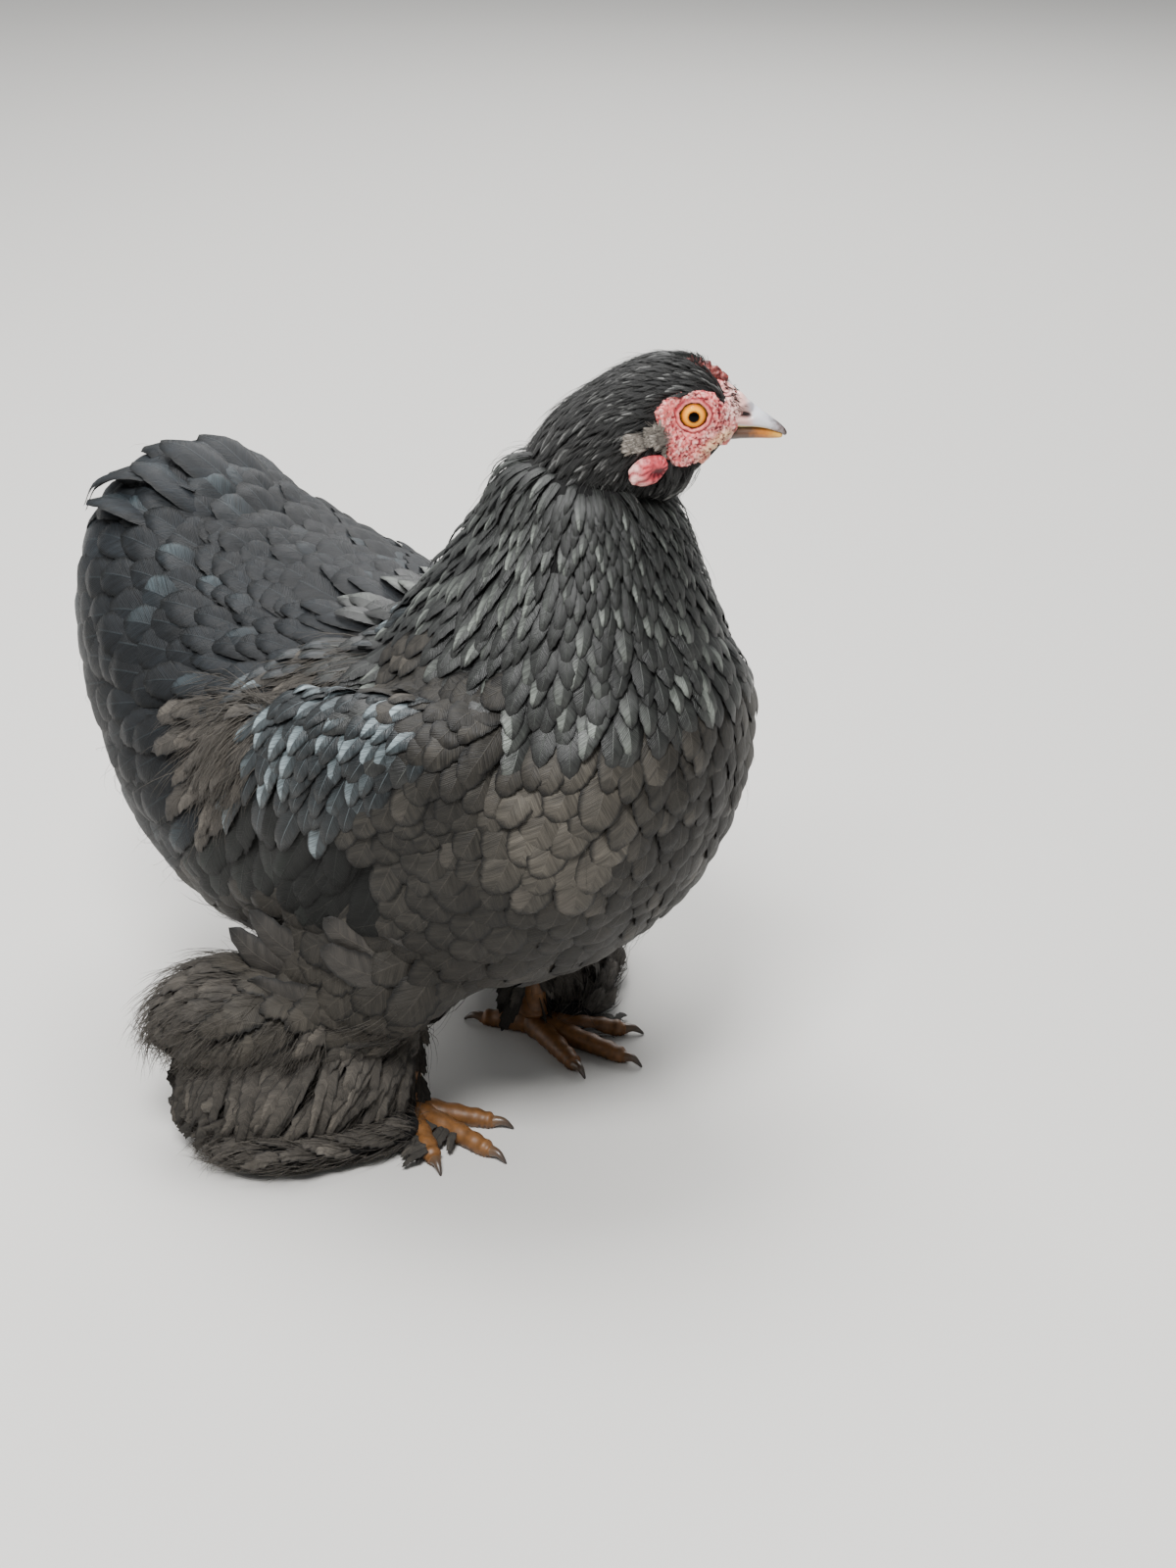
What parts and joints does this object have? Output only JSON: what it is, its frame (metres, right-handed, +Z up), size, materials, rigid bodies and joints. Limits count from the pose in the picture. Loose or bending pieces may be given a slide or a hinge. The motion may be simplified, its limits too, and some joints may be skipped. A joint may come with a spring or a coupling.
{
  "type": "cochin bantam hen",
  "caption": "Life-size still model of a standing black bantam hen with rounded soft plumage, feathered legs and feet, and its head turned to one side.",
  "frame": {"origin": "on the floor, under the middle of the bounding box", "axes": "+Z up, +X the way the body faces, +Y towards the bird's left"},
  "size_m": [0.2595, 0.2242, 0.2756],
  "materials": {
    "plumage": "soft black feathers with a faint green sheen",
    "bare_skin": "wrinkled red skin",
    "eye": "wet gloss amber with a black pupil",
    "horn": "smooth pale horn with dark parts"
  },
  "bodies": {
    "root": {"torso": "plumage", "neck": "plumage", "tail": "plumage", "wing_left": "plumage", "wing_right": "plumage", "thigh_left": "plumage", "thigh_right": "plumage", "shank_left": "plumage", "shank_right": "plumage", "foot_left": "plumage", "foot_right": "plumage", "head": "plumage", "comb": "bare_skin", "earlobe_left": "bare_skin", "earlobe_right": "bare_skin", "wattle_left": "bare_skin", "wattle_right": "bare_skin", "eye_left": "eye", "eye_right": "eye", "beak_upper": "horn", "beak_lower": "horn", "claw_inner_left": "horn", "claw_middle_left": "horn", "claw_outer_left": "horn", "claw_hind_left": "horn", "claw_inner_right": "horn", "claw_middle_right": "horn", "claw_outer_right": "horn", "claw_hind_right": "horn"}
  },
  "joints": []
}
